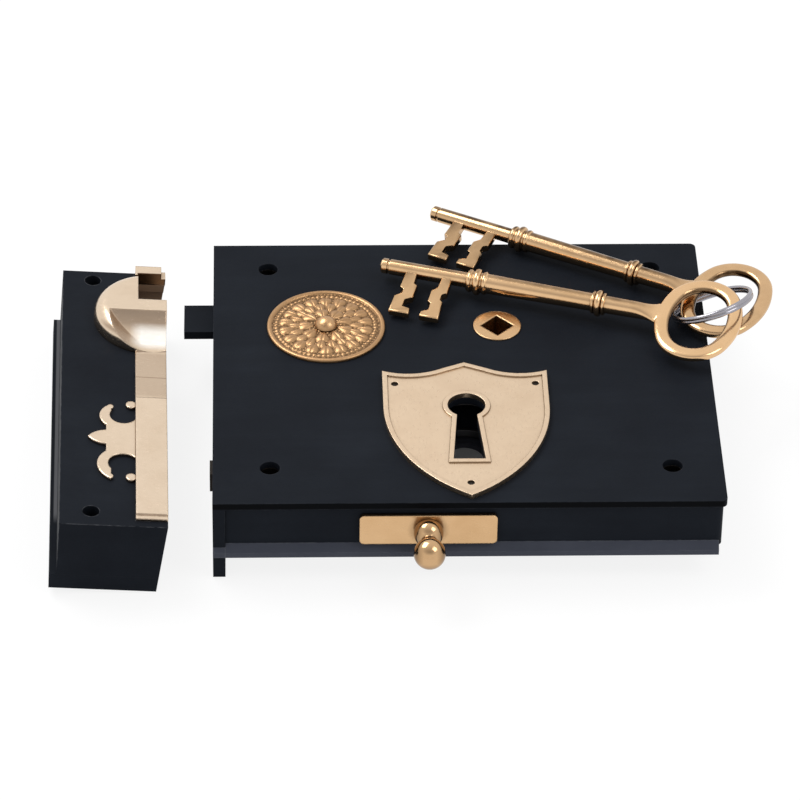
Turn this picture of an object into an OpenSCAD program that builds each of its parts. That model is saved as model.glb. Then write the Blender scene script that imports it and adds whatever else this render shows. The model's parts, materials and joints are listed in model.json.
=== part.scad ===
// Rim box lock: iron case lying on its back, lifting latch, key bolt, night bolt,
// box keep and two keys on a split ring. Millimetres. The origin is the centre of the
// four fixing holes on the door side of the case, +X to the rear edge, +Y up the door,
// +Z out of the face plate.

/* [Case] */
// Width of the case from the forend to the rear edge
case_w = 165; // [155:1:185]
// Height of the case on the door
case_h = 141.5; // [134:0.5:156]
// Depth of the case from the door to the face of the plate
case_d = 21; // [20:0.5:24]
// Place of the case's middle to the right of the fixing centre
case_off_x = -1; // [-3:0.5:3]
// Place of the case's middle above the fixing centre
case_off_y = -2.25; // [-4:0.25:2]
// Thickness of the face plate
plate_t = 2.5; // [2:0.1:3]
// Thickness of the forend
forend_t = 4; // [3:0.1:5]
// Depth of the forend's lip behind the door side
lip_d = 9; // [6:0.5:14]
// Thickness of the rim walls
rim_t = 2; // [1.5:0.1:2.5]
// Overhang of the face plate past the rim walls
rim_inset = 1; // [0.5:0.1:1.5]
// Thickness of the back cap
cap_t = 2; // [1.5:0.1:2.5]
// Reach of the back cap's bevelled foot in front of the lower wall
foot_w = 2.4; // [1.5:0.1:4]
// Thickness of the foot at its edge
foot_edge = 1.9; // [1:0.1:2.5]
// Corner radius of the face plate
plate_r = 2; // [0.5:0.1:4]

/* [Fixings] */
// Distance between the fixing holes across the case
fix_dx = 130; // [120:1:136]
// Distance between the fixing holes up the case
fix_dy = 109; // [100:1:112]
// Radius of a fixing hole
fix_r = 3.3; // [2.5:0.1:3.6]
// Wall of the tube round a fixing hole
tube_wall = 1.4; // [1:0.1:1.6]
// Radius of a cap pillar
pillar_r = 4; // [3:0.1:4.5]
// Radius of a cap screw's shank
cap_screw_r = 1.5; // [1.2:0.1:2]
// Length of a cap screw
cap_screw_l = 10; // [7:0.5:13]

/* [Rose] */
// Distance of the rose behind the forend
rose_back = 37.7; // [34:0.1:44]
// Distance of the rose below the top edge
rose_down = 47.3; // [42:0.1:52]
// Radius of the rose
rose_r = 19.8; // [16:0.1:22]
// Thickness of the rose at its edge
rose_t = 1.2; // [0.8:0.1:2]
// Radius of the dome on the rose
dome_r = 4; // [3:0.1:6]

/* [Follower and latch] */
// Distance of the spindle behind the forend
spindle_back = 95; // [90:0.5:100]
// Distance of the spindle below the top edge
spindle_down = 47.2; // [45:0.1:50]
// Side of the square spindle hole
spindle_sq = 8; // [6:0.1:8.5]
// Radius of the follower's boss in the face plate
boss_r = 8; // [7:0.1:9]
// Reach of the follower's ears
ear_r = 13; // [12:0.1:13.5]
// Height of the latch bar
latch_h = 15.1; // [13:0.1:16]
// Height of the latch bar's arm
arm_h = 6.8; // [5:0.1:8]
// Thickness of the latch bar
latch_t = 3; // [2:0.1:4]
// Reach of the latch in front of the forend
latch_proud = 10; // [7:0.1:13]
// Depth of the latch head inside the forend
latch_in = 11.5; // [8:0.1:12]
// Rise of the latch head at the forend
latch_rise = 11.8; // [11.6:0.1:12.6]
// Distance of the latch pivot from the rear edge
pivot_back = 15.5; // [14:0.1:18]
// Radius of the latch pivot
pivot_r = 3; // [2:0.1:4]
// Distance of the latch's legs from the spindle
leg_dx = 9.5; // [9.3:0.1:10.5]
// Radius of a leg's foot
leg_r = 1.2; // [0.8:0.1:1.4]

/* [Key bolt] */
// Distance of the keyhole behind the forend
key_back = 83; // [80:0.5:88]
// Distance of the keyhole above the lower edge
key_up = 49; // [48:0.1:52]
// Radius of the keyhole's round end
keyhole_r = 6.2; // [5:0.1:7]
// Length of the keyhole's slot below its centre
keyhole_l = 28.5; // [24:0.1:29]
// Width of the keyhole's slot at its top
slot_w1 = 5.8; // [4:0.1:7]
// Width of the keyhole's slot at its foot
slot_w2 = 10.4; // [8:0.1:11]
// Height of the bolt head
bolt_h = 24; // [20:0.5:26]
// Thickness of the bolt head
bolt_t = 8; // [6:0.1:9]
// Length of the bolt head
bolt_l = 25; // [20:0.5:28]
// Throw of the bolt
bolt_throw = 13; // [8:0.5:14]
// Thickness of the bolt's tail
tail_t = 4; // [3:0.1:4.5]
// Radius of the stump that guides the tail
stump_r = 2.5; // [2:0.1:3]
// Thickness of the tumbler
tumbler_t = 2; // [1.5:0.1:2.5]
// Radius of the ring ward
ward_r = 10; // [9:0.1:12]

/* [Night bolt] */
// Distance of the snib knob behind the forend
snib_back = 69.2; // [66:0.1:74]
// Height of the snib knob above the door side
snib_z = 10.6; // [9:0.1:11]
// Length of the snib's slide plate
snib_l = 44.2; // [42:0.1:56]
// Height of the snib's slide plate
snib_h = 11.4; // [8:0.1:12]
// Thickness of the snib's slide plate
snib_t = 1.6; // [1:0.1:2]
// Reach of the snib knob from its plate
knob_l = 17.1; // [15:0.1:20]
// Radius of the snib knob's ball
knob_r = 5.15; // [4:0.05:6]
// Radius of the snib's stem
stem_r = 2.5; // [2:0.1:3]
// Throw of the night bolt
night_throw = 10; // [6:0.5:10]
// Height of the night bolt's bar
night_h = 7.4; // [5:0.1:7.8]
// Thickness of the night bolt
night_t = 7; // [6:0.1:8]
// Reach of the night bolt in front of the forend at rest
night_proud = 1; // [0:0.1:2]

/* [Shield] */
// Half width of the shield escutcheon
shield_hw = 27.2; // [24:0.1:29]
// Height of the shield from its tip to its corners
shield_h = 65.9; // [63:0.1:67]
// Thickness of the shield
shield_t = 1.4; // [1:0.1:2]
// Width of the shield's raised border
border_w = 1.6; // [1:0.1:2.5]
// Height of the raised borders
border_h = 0.5; // [0.3:0.1:1]

/* [Keys] */
// Length of a key from its tip to the middle of its bow
key_l = 110.5; // [104:0.5:116]
// Radius of the shank at the bit
bit_shank_r = 2.2; // [2:0.1:3]
// Radius of the shank behind the collar
shank_r = 3.4; // [3:0.1:4]
// Radius of the shank at the bow
neck_r = 2.8; // [2:0.1:3.2]
// Radius of the collars
collar_r = 4.5; // [4:0.1:5]
// Reach of the bit from the shank's axis
bit_reach = 21.6; // [20.5:0.1:22]
// Thickness of the bit
bit_t = 2.6; // [2:0.1:3]
// Half length of the bow along the shank
bow_a = 14.4; // [13:0.1:16]
// Half width of the bow
bow_b = 19; // [17:0.1:20]
// Width of the bow's bar
bow_bar = 5; // [4:0.1:6]
// Thickness of the bow
bow_t = 3; // [2.5:0.1:3.2]
// Radius of the split ring to its middle line
ring_r = 13.4; // [13.2:0.1:13.8]
// Radius of the split ring's wire
wire_r = 0.75; // [0.6:0.05:0.85]

/* [Keep] */
// Width of the keep
keep_w = 34.7; // [32:0.1:40]
// Height of the keep on the door frame
keep_h = 137; // [134:0.5:150]
// Depth of the keep
keep_d = 26.5; // [24:0.5:30]
// Gap from the forend to the keep as it lies
keep_gap = 16; // [13:0.5:30]
// Wall of the keep's casting
keep_wall = 3; // [2:0.1:4]
// Thickness of the keep's base
base_t = 5.5; // [3:0.1:7]
// Reach of the base past the keep's outer wall
base_lip = 2.2; // [1:0.1:4]
// Lean of the keep as it lies
keep_lean = 4.35; // [0:0.05:6]
// Turn of the keep as it lies
keep_turn = 1.07; // [-2:0.01:3]
// Radius of a keep screw hole
keep_hole_r = 2.75; // [2:0.05:3.2]
// Distance of the lower keep screw hole from the keep's lower end
hole_low = 7; // [6:0.1:10]
// Distance of the upper keep screw hole from the keep's upper end
hole_top = 5.1; // [4.5:0.1:8]
// Width of the brass strip along the keep's mouth
strip_w = 10.3; // [8:0.1:11]
// Radius of the striker's cheek
cheek_r = 19.1; // [17:0.1:20]
// Height of the striker's cheek
cheek_h = 7; // [5:0.1:9]
// Thickness of the fleur-de-lis
fleur_t = 1.2; // [0.8:0.1:2]

/* [Hidden] */
$fn = 64;
// Clearance of parts that slide past each other
slide_gap = 0.3;
// Clearance of a pin in its hole
pin_gap = 0.05;
// Edges of the case
x_l = case_off_x - case_w / 2;
x_r = case_off_x + case_w / 2;
y_b = case_off_y - case_h / 2;
y_t = case_off_y + case_h / 2;
// Inside faces of the case
z_cap = cap_t;
z_plate = case_d - plate_t;
z_mid = (z_cap + z_plate) / 2;
x_in = x_l + forend_t;
x_wall = x_r - rim_inset;
y_wall = y_b + rim_inset;
y_wall_t = y_t - rim_inset;
// Centre lines
rose_c = [x_l + rose_back, y_t - rose_down];
spin_c = [x_l + spindle_back, y_t - spindle_down];
key_c = [x_l + key_back, y_b + key_up];
snib_x = x_l + snib_back;
fix_c = [for (i = [-1, 1], j = [-1, 1]) [i * fix_dx / 2, j * fix_dy / 2]];
// Latch levels: the legs' feet stand just over the follower's ears
ear_top = 0.5;
leg_up = ear_top + slide_gap;
latch_up = 10.6;
latch_drop = 0.25;
latch_y = spin_c[1] + latch_up;
latch_z = z_mid - latch_t / 2 - latch_drop;
pivot_c = [x_r - pivot_back, latch_y + arm_h / 2];
pivot_boss_r = pivot_r + 3.5;
pivot_collar_r = pivot_r + 2;
// Leaf springs; the latch's leaf bends from its post down to the arm
spring_t = 0.8;
spring_w = 5;
post_r = 3;
post_back = 55;
post_down = 7;
post_c = [x_l + post_back, y_wall_t - rim_t - post_down];
latch_leaf_r = post_c[1] - post_r - pin_gap - spring_t - latch_y - arm_h - slide_gap;
// Key bolt levels
bolt_z = z_mid - bolt_t / 2;
tail_z = z_mid - tail_t / 2;
tail_up = 15;
tail_y0 = key_c[1] + tail_up;
tail_h = 12;
talon_w = 12;
talon_h = 7.5;
bolt_low = 5;
bolt_y0 = key_c[1] - bolt_low;
bolt_x0 = x_l + slide_gap;
stump_back = 28.5;
stump_x = key_c[0] + stump_back;
stump_y = tail_y0 + tail_h / 2;
tail_end = 4;
tail_x1 = stump_x + bolt_throw + stump_r + tail_end;
tumbler_z = tail_z + tail_t + 2 * slide_gap;
tumbler_fore = 47.5;
tumbler_up = 9;
tumbler_c = [key_c[0] - tumbler_fore, tail_y0 + tumbler_up];
tumbler_l = 62;
tumbler_h = 9;
stub_r = 1.2;
stub_back = 27;
stub_c = [tumbler_c[0] + stub_back, tail_y0 + tail_h + slide_gap + stub_r];
belly_r = 5.5;
tumbler_hole_r = pivot_r - 1;
tumbler_leaf_r = 18.2;
tumbler_leaf_a = 60;
tumbler_leaf_back = 6;
tumbler_leaf_c = [tumbler_c[0] + tumbler_leaf_back,
    tumbler_c[1] + tumbler_h / 2 + tumbler_leaf_r + spring_t];
stop_r = 2;
stop_angle = -34;
ward_h = 3;
ward_t = 1.2;
// Night bolt levels
night_y0 = fix_c[0][1] + fix_r + tube_wall + 3 * slide_gap;
night_z = snib_z - night_t / 2;
night_fore = 25.5;
night_x1 = key_c[0] - night_fore;
night_arm_w = 8;
night_tail_gap = 6;
night_tail_y0 = y_wall + rim_t + night_tail_gap;
night_tail_h = 6;
night_tail_over = 7;
night_tail_x1 = snib_x + night_tail_over;
night_bow_r = 9;
night_bow_a = acos(1 - (night_tail_gap - slide_gap - spring_t) / night_bow_r);
stem_l = slide_gap + snib_t + rim_t + night_tail_gap + night_tail_h;
snib_r = 1.5;
snib_dome_r = 4.8;
dome_up = 1.6;
// Cap pillars: above the latch, behind the bolt and beside the night bolt
pillar_in = [31, 33.5];
pillar_low = [8, 4, 7];
pillar_c = [[0, y_wall_t - rim_t - pillar_low[0]], [x_r - pillar_in[0], key_c[1] - pillar_low[1]],
    [x_l + pillar_in[1], y_wall + rim_t + pillar_low[2]]];
// Shield outline levels below its middle
shield_up = 1.8;
shield_y = y_b + shield_up;
shield_drop = 19.5;
shield_peak = 4.3;
roof_w = 9;
roof_slope = 0.44;
dip_c = [18.5, 21.4];
dip_r = 23.2;
pin_r = 1.2;
pin_sunk = 0.6;
pin_in = [4, 6.6, 6.9];
shield_pin_c = [for (s = [-1, 1]) [s * (shield_hw - pin_in[0]), shield_h - pin_in[1]], [0, pin_in[2]]];
// Keep levels in its own frame, from the near outer corner of its base
keep_x0 = x_l - keep_gap;
keep_low = 7.4;
keep_y0 = y_b - keep_low;
strip_x = -strip_w;
rebate = 1.6;
proud = 1;
cheek_c = [-5.1, 110.5];
cheek_round = 4.5;
notch_y = 113;
notch_h = 20;
notch_x = -9.6;
land_y = 107;
post_h = 3.2;
scoop_x = -4.2;
scoop_y = 91;
scoop_y0 = 80;
scoop_r1 = 24.4;
scoop_r2 = 22;
strip_end = 3;
step_end = 2;
step_y = 66;
step_t = 0.5;
// Fleur-de-lis from the strip's edge: petal, body, then curl and horn of the upper and the lower side
fleur_y = 44.5;
petal_c = [-9, 4.1];
petal_r = 7.7;
body_size = [9.6, 14.6];
curl_c = [[-5.2, 11.4], [-3.6, 14]];
curl_r = [6.6, 8.9];
hollow_c = [[-4, 11.9], [-4, 13.6]];
hollow_r = [4.5, 5];
curl_x = -8;
curl_end_c = [[-8.3, 16.2], [-8.3, 20.4]];
curl_end_r = 1;
horn_c = [[-1.5, 17.6], [-1.5, 20.6]];
horn_r = 1.7;
hole_in = 10.1;
hole_x = hole_in - keep_w;
// Key layout on the face plate from its far rear corner: tip, and roll, pitch and turn of each key
front_back = 107.9;
front_down = 18.9;
front_up = 0.6;
front_tip = [x_r - front_back, y_t - front_down, case_d + collar_r + front_up];
front_rot = [7.93, -1.27, -18.9];
back_back = 89.7;
back_over = 12.5;
back_tip = [x_r - back_back, y_t + back_over, case_d + collar_r + pin_gap];
back_rot = [5.33, -0.4, -28.6];
ring_over = 1.98;
ring_down = 46.31;
ring_up = 7.86;
ring_c = [x_r + ring_over, y_t - ring_down, case_d + ring_up];
ring_rot = [-20.8, -19.65, 0];
coil_gap = 0.55;
// Steps along a key from its tip
tip_l = 2.2;
tip_step = 0.4;
groove_w = 0.8;
bit_1 = 11;
bit_2 = 23.5;
collar_1 = 33.9;
collar_2 = 76.2;
// Beads of the two collars, then width, step down and distance of the beads beside them
bead_1 = 2.4;
side_1 = [1.8, 0.6, 2.6];
bead_2 = 2.2;
side_2 = [1.2, 0.7, 1.8];
sleeve_l = 7;
// Size of the bit's fingers against a reach of 21.6
finger = bit_reach / 21.6;
bow_end = 1.25;
neck_in = 1;
shank_l = key_l - bow_a + neck_in;

iron = [0.15, 0.16, 0.18];
dark_iron = [0.10, 0.11, 0.13];
steel = [0.55, 0.56, 0.58];
brass = [0.83, 0.68, 0.45];

// Outline helpers

// Rectangle from its corner with rounded corners
module round_rect(x, y, w, h, r) {
    translate([x + r, y]) square([w - 2 * r, h]);
    translate([x, y + r]) square([w, h - 2 * r]);
    for (i = [r, w - r], j = [r, h - r]) translate([x + i, y + j]) circle(r);
}

// Bar between two points with round ends
module bar2(a, b, w) {
    d = b - a;
    translate(a) circle(d = w);
    translate(b) circle(d = w);
    translate(a) rotate(atan2(d[1], d[0])) translate([0, -w / 2]) square([norm(d), w]);
}

// Oval of half axes a and b, b the longer, with end arcs of radius r
module oval(a, b, r) {
    c = b - r;
    s = a - r;
    k = (c * c - s * s) / (2 * s);
    flank = a + k;
    yt = flank * c / norm([k, c]);
    for (j = [-1, 1]) translate([0, j * c]) circle(r);
    intersection() {
        translate([-k, 0]) circle(flank);
        translate([k, 0]) circle(flank);
        translate([-a, -yt]) square([2 * a, 2 * yt]);
    }
}

// Flat leaf spring bent to an arc about c from angle a0 over da
module leaf(c, r, a0, da, z, w) {
    translate([c[0], c[1], z]) rotate(a0) rotate_extrude(angle = da)
        translate([r, 0]) square([spring_t, w]);
}

// Keyhole outline with its round end at the key's axis, grown by g
module keyhole(g = 0) {
    translate(key_c) {
        circle(keyhole_r + g);
        polygon([[-slot_w1 / 2 - g, 0], [slot_w1 / 2 + g, 0],
            [slot_w2 / 2 + g, -keyhole_l - g], [-slot_w2 / 2 - g, -keyhole_l - g]]);
    }
}

// Four fixing holes of radius r
module fixings(r) {
    for (c = fix_c) translate(c) circle(r);
}

// Case

module face_plate() color(iron) difference() {
    union() {
        translate([0, 0, z_plate]) linear_extrude(plate_t)
            round_rect(x_l, y_b, case_w, case_h, plate_r);
        translate([x_l, y_b, -lip_d]) cube([forend_t, case_h, case_d + lip_d]);
    }
    translate([0, 0, z_plate - 1]) linear_extrude(plate_t + 2) {
        fixings(fix_r);
        keyhole();
        translate(spin_c) circle(boss_r + pin_gap);
        translate(rose_c) circle(pivot_r);
    }
    translate([x_l - 1, latch_y - slide_gap, latch_z - slide_gap])
        cube([forend_t + 2, latch_h + latch_rise + slide_gap, latch_t + 2 * slide_gap]);
    translate([x_l - 1, bolt_y0 - slide_gap, bolt_z - slide_gap])
        cube([forend_t + 2, bolt_h + 2 * slide_gap, bolt_t + 2 * slide_gap]);
    translate([x_l - 1, night_y0 - slide_gap, night_z - slide_gap])
        cube([forend_t + 2, night_h + 2 * slide_gap, night_t + 2 * slide_gap]);
}

module rim() color(dark_iron) difference() {
    translate([0, 0, z_cap]) linear_extrude(z_plate - z_cap) difference() {
        union() {
            round_rect(x_in, y_wall, x_wall - x_in, y_wall_t - y_wall, plate_r);
            translate([x_in, y_wall]) square([plate_r, y_wall_t - y_wall]);
        }
        translate([x_in - 1, y_wall + rim_t])
            square([x_wall - x_in - rim_t + 1, y_wall_t - y_wall - 2 * rim_t]);
    }
    // slot for the snib's stem
    translate([snib_x - night_throw - stem_r - slide_gap, y_wall - 1, snib_z - stem_r - slide_gap])
        cube([night_throw + 2 * (stem_r + slide_gap), rim_t + 2, 2 * (stem_r + slide_gap)]);
}

module back_cap() color(iron) difference() {
    union() {
        translate([x_in, y_wall, 0]) cube([x_wall - x_in - rim_inset, y_wall_t - y_wall, cap_t]);
        translate([x_in, 0, 0]) rotate([90, 0, 90]) linear_extrude(x_wall - x_in - rim_inset)
            polygon([[y_wall + foot_w, 0], [y_wall + foot_w, cap_t], [y_wall, cap_t],
                [y_wall, foot_edge + foot_w], [y_wall - foot_w, foot_edge], [y_wall - foot_w, 0]]);
    }
    translate([0, 0, -1]) linear_extrude(cap_t + 2) {
        fixings(fix_r);
        keyhole();
        translate(spin_c) circle(boss_r - 1 + pin_gap);
        for (c = pillar_c) translate(c) circle(cap_screw_r + pin_gap);
    }
    for (c = pillar_c) translate([c[0], c[1], 0]) cap_screw_head(pin_gap);
}

module fixing_tubes() color(dark_iron)
    translate([0, 0, z_cap]) linear_extrude(z_plate - z_cap) difference() {
        fixings(fix_r + tube_wall);
        fixings(fix_r);
    }

module cap_pillars() color(dark_iron)
    for (c = pillar_c) translate([c[0], c[1], z_cap]) difference() {
        cylinder(r = pillar_r, h = z_plate - z_cap);
        translate([0, 0, -1]) cylinder(r = cap_screw_r + pin_gap, h = cap_screw_l);
    }

// Countersunk head at the door side, grown by g
module cap_screw_head(g = 0) {
    cylinder(r1 = 2 * cap_screw_r + g, r2 = cap_screw_r + g, h = cap_screw_r);
}

module cap_screws() color(steel)
    for (c = pillar_c) translate([c[0], c[1], 0]) difference() {
        union() {
            cap_screw_head();
            cylinder(r = cap_screw_r, h = cap_screw_l);
        }
        translate([-2 * cap_screw_r - 1, -0.3, -1]) cube([4 * cap_screw_r + 2, 0.6, 1.6]);
    }

// Rose

module rose() color(brass) translate([rose_c[0], rose_c[1], case_d]) difference() {
    rotate_extrude() polygon([[0, 0], [rose_r, 0], [rose_r, rose_t * 0.7], [rose_r - 0.8, rose_t],
        [rose_r - 2.6, rose_t], [rose_r - 3.4, rose_t * 0.6], [dome_r + 2, rose_t], [0, rose_t]]);
    translate([0, 0, -1]) cylinder(r = pivot_r - 1, h = rose_t + 2);
}

module rose_stud() color(brass) translate([rose_c[0], rose_c[1], 0]) {
    translate([0, 0, z_plate]) cylinder(r = pivot_r, h = plate_t);
    translate([0, 0, case_d]) cylinder(r = pivot_r - 1, h = rose_t);
    translate([0, 0, case_d + rose_t]) intersection() {
        translate([0, 0, -dome_r * 0.3]) sphere(dome_r);
        cylinder(r = dome_r, h = dome_r);
    }
}

// Follower and latch

module follower() color(brass) translate([spin_c[0], spin_c[1], 0]) difference() {
    union() {
        cylinder(r = boss_r - 1, h = z_cap);
        translate([0, 0, z_cap + slide_gap])
            cylinder(r = boss_r - 0.4, h = z_plate - z_cap - 2 * slide_gap);
        translate([0, 0, z_cap - 0.5]) cylinder(r = boss_r - 1, h = 2);
        translate([0, 0, z_plate - 1]) cylinder(r = boss_r, h = plate_t + 1.5);
        translate([0, 0, latch_z - 1]) linear_extrude(latch_t + 1) intersection() {
            translate([-ear_r, ear_top - 5]) square([2 * ear_r, 5]);
            circle(ear_r);
        }
    }
    translate([0, 0, -1]) rotate(45) translate([-spindle_sq / 2, -spindle_sq / 2])
        cube([spindle_sq, spindle_sq, case_d + 3]);
}

module latch_bar() color(iron) translate([0, 0, latch_z]) linear_extrude(latch_t) difference() {
    union() {
        translate([x_l - latch_proud, latch_y]) square([latch_proud + latch_in, latch_h]);
        translate([x_l, latch_y]) square([pivot_c[0] - x_l, arm_h]);
        translate(pivot_c) circle(pivot_boss_r);
        for (s = [-1, 1]) bar2([spin_c[0] + s * leg_dx, spin_c[1] + leg_up + leg_r],
            [spin_c[0] + s * leg_dx, latch_y + leg_r], 2 * leg_r);
    }
    translate(pivot_c) circle(pivot_r + pin_gap);
}

module latch_pivot() color(steel) translate([pivot_c[0], pivot_c[1], 0]) {
    translate([0, 0, z_cap]) cylinder(r = pivot_collar_r, h = latch_z - pin_gap - z_cap);
    translate([0, 0, z_cap]) cylinder(r = pivot_r, h = z_plate - z_cap);
    translate([0, 0, latch_z + latch_t + pin_gap])
        cylinder(r = pivot_collar_r, h = z_plate - latch_z - latch_t - pin_gap);
}

// The latch spring coils once round its post and bears on the arm
module spring_post() color(steel) translate([post_c[0], post_c[1], z_mid - spring_w / 2])
    cylinder(r = post_r, h = z_plate - z_mid + spring_w / 2);

module latch_spring() color(steel) {
    translate([post_c[0], post_c[1], z_mid - spring_w / 2]) linear_extrude(spring_w) difference() {
        circle(post_r + pin_gap + spring_t);
        circle(post_r + pin_gap);
    }
    leaf([post_c[0], latch_y + arm_h + slide_gap], latch_leaf_r, 90, 90, z_mid - spring_w / 2, spring_w);
}

// Key bolt

module key_bolt() color(steel) difference() {
    union() {
        translate([bolt_x0, bolt_y0, bolt_z]) cube([bolt_l, bolt_h, bolt_t]);
        translate([bolt_x0 + bolt_l - 1, tail_y0, tail_z])
            cube([tail_x1 - bolt_x0 - bolt_l + 1, tail_h, tail_t]);
    }
    // talon in which the key's bit works
    translate([key_c[0] - talon_w / 2, tail_y0 - 1, tail_z - 1])
        cube([talon_w, talon_h + 1, tail_t + 2]);
    // guide slot on the stump
    translate([0, 0, tail_z - 1]) linear_extrude(tail_t + 2)
        bar2([stump_x, stump_y], [stump_x + bolt_throw, stump_y], 2 * (stump_r + pin_gap));
}

module bolt_stump() color(steel) translate([stump_x, stump_y, z_cap]) {
    cylinder(r = stump_r, h = z_plate - z_cap);
    cylinder(r = stump_r + 1.5, h = tail_z - slide_gap - z_cap);
}

module tumbler() color(brass) difference() {
    union() {
        translate([0, 0, tumbler_z]) linear_extrude(tumbler_t) {
            translate(tumbler_c) circle(tumbler_h / 2);
            translate([tumbler_c[0], tumbler_c[1] - tumbler_h / 2]) square([tumbler_l, tumbler_h]);
            translate([key_c[0], tail_y0 + belly_r + 1]) circle(belly_r);
            translate(stub_c) circle(2 * stub_r);
        }
        translate([stub_c[0], stub_c[1], tail_z]) cylinder(r = stub_r, h = tumbler_z + tumbler_t - tail_z);
    }
    translate([tumbler_c[0], tumbler_c[1], tumbler_z - 1])
        cylinder(r = tumbler_hole_r + pin_gap, h = tumbler_t + 2);
}

module tumbler_pivot() color(steel) translate([tumbler_c[0], tumbler_c[1], tumbler_z]) {
    translate([0, 0, -slide_gap]) cylinder(r = tumbler_hole_r, h = z_plate - tumbler_z + slide_gap);
    translate([0, 0, tumbler_t + pin_gap])
        cylinder(r = pivot_r + 0.5, h = z_plate - tumbler_z - tumbler_t - pin_gap);
}

// The tumbler's leaf spring is held in its top edge and bears on a fixed stop
module tumbler_spring() color(steel)
    leaf(tumbler_leaf_c, tumbler_leaf_r, 270, tumbler_leaf_a, tumbler_z, tumbler_t);

module spring_stop() color(steel)
    translate([tumbler_leaf_c[0], tumbler_leaf_c[1], tumbler_z]) rotate(stop_angle)
        translate([tumbler_leaf_r - stop_r - slide_gap, 0, 0])
            cylinder(r = stop_r, h = z_plate - tumbler_z);

module wards() color(steel) for (z = [z_cap, z_plate - ward_h])
    translate([key_c[0], key_c[1], z]) rotate(-50) rotate_extrude(angle = 280)
        translate([ward_r - ward_t / 2, 0]) square([ward_t, ward_h]);

// Night bolt and snib

module night_bolt() color(steel) difference() {
    translate([0, 0, night_z]) linear_extrude(night_t) {
        translate([x_l - night_proud, night_y0]) square([night_x1 - x_l + night_proud, night_h]);
        translate([night_x1 - night_arm_w, night_tail_y0])
            square([night_arm_w, night_y0 + night_h - night_tail_y0]);
        translate([night_x1 - night_arm_w, night_tail_y0])
            square([night_tail_x1 - night_x1 + night_arm_w, night_tail_h]);
    }
    translate([snib_x, night_tail_y0 - 1, snib_z]) rotate([-90, 0, 0])
        cylinder(r = stem_r, h = night_tail_h + 2);
}

// Bowed leaf that rides on the tail and rubs along the lower wall
module night_spring() color(steel)
    leaf([night_x1 - night_arm_w + 8, y_wall + rim_t + slide_gap + spring_t + night_bow_r],
        night_bow_r, 270 - night_bow_a, 2 * night_bow_a, snib_z - spring_w / 2, spring_w);

module snib_plate() color(brass) difference() {
    translate([snib_x, y_wall - slide_gap, snib_z]) rotate([90, 0, 0]) linear_extrude(snib_t)
        round_rect(-snib_l / 2, -snib_h / 2, snib_l, snib_h, snib_r);
    translate([snib_x, y_wall + 1, snib_z]) rotate([90, 0, 0]) cylinder(r = stem_r, h = snib_t + 3);
}

// Ball on a domed foot
module snib_knob() color(brass)
    translate([snib_x, y_wall - slide_gap - snib_t, snib_z]) rotate([90, 0, 0]) {
        rotate_extrude() intersection() {
            union() {
                translate([0, dome_up]) circle(snib_dome_r);
                translate([0, knob_l - knob_r]) circle(knob_r);
                square([stem_r, knob_l - knob_r]);
            }
            square([knob_r, knob_l]);
        }
        translate([0, 0, -stem_l]) cylinder(r = stem_r, h = stem_l);
    }

// Shield escutcheon

// Outline from its tip at the origin up to the peak, set in by g
module shield_outline(g = 0) {
    hw = shield_hw - g;
    shoulder = shield_h - shield_drop;
    side_r = (shield_hw * shield_hw + shoulder * shoulder) / (2 * shield_hw);
    peak = shield_h + shield_peak - g * norm([1, roof_slope]);
    eave = peak - roof_w * roof_slope;
    difference() {
        // the two flanks run straight to the shoulder and meet in the tip
        union() {
            intersection() {
                translate([shield_hw - side_r, shoulder]) circle(side_r - g);
                translate([side_r - shield_hw, shoulder]) circle(side_r - g);
                translate([-hw, 0]) square([2 * hw, shoulder]);
            }
            translate([-hw, shoulder]) square([2 * hw, peak - shoulder]);
        }
        // a roof over the middle and a hollow on each side of it
        polygon([[0, peak], [roof_w, eave], [roof_w, peak + 1], [-roof_w, peak + 1], [-roof_w, eave]]);
        for (s = [-1, 1]) translate([s * dip_c[0], shield_h + dip_c[1]]) circle(dip_r + g);
    }
}

module shield() color(brass) translate([key_c[0], shield_y, case_d]) difference() {
    union() {
        linear_extrude(shield_t) shield_outline();
        linear_extrude(shield_t + border_h) difference() {
            shield_outline();
            shield_outline(border_w);
        }
        translate([-key_c[0], -shield_y, 0]) linear_extrude(shield_t + border_h) keyhole(border_w);
    }
    translate([-key_c[0], -shield_y, -1]) linear_extrude(shield_t + 3) keyhole();
    for (p = shield_pin_c) translate([p[0], p[1], -1]) cylinder(r = pin_r, h = shield_t + 3);
}

module shield_pins() color(dark_iron)
    for (p = shield_pin_c) translate([key_c[0] + p[0], shield_y + p[1], case_d])
        cylinder(r = pin_r, h = shield_t - pin_sunk);

// Keys

// The two steps of the bit, each a crooked finger with ward notches in its sides
module bit_fore() scale(finger)
    polygon([[-1.8, 0], [2.2, 0], [2.2, -7.4], [4, -7.6], [4.1, -14], [1.4, -15.2], [1.6, -19], [4.7, -18.9],
        [4.9, -21.6], [-2.1, -21.6], [-2.3, -14.2], [0.3, -12.6], [0.2, -10.3], [-1.7, -9.8]]);

module bit_rear() scale(finger)
    polygon([[-1.7, 0], [1.7, 0], [2.3, -9.3], [0.4, -10], [0.6, -13], [2.1, -13.4], [2.8, -21.6],
        [-3.9, -21.6], [-3.9, -19.3], [-1.2, -18.5], [-1.5, -14.6], [-3.1, -14.4], [-3.4, -9], [-1.2, -7.4]]);

// Rounded bead of width w on the shank, in the shank's half section
module bead(x, r, w) {
    translate([0, x - w / 2]) square([r - w / 2, w]);
    translate([r - w / 2, x]) circle(w / 2);
}

// Bead of the collar's radius with a smaller one on each side
module collar(x, w, side) {
    bead(x, collar_r, w);
    for (s = [-1, 1]) bead(x + s * side[2], collar_r - side[1], side[0]);
}

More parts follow.
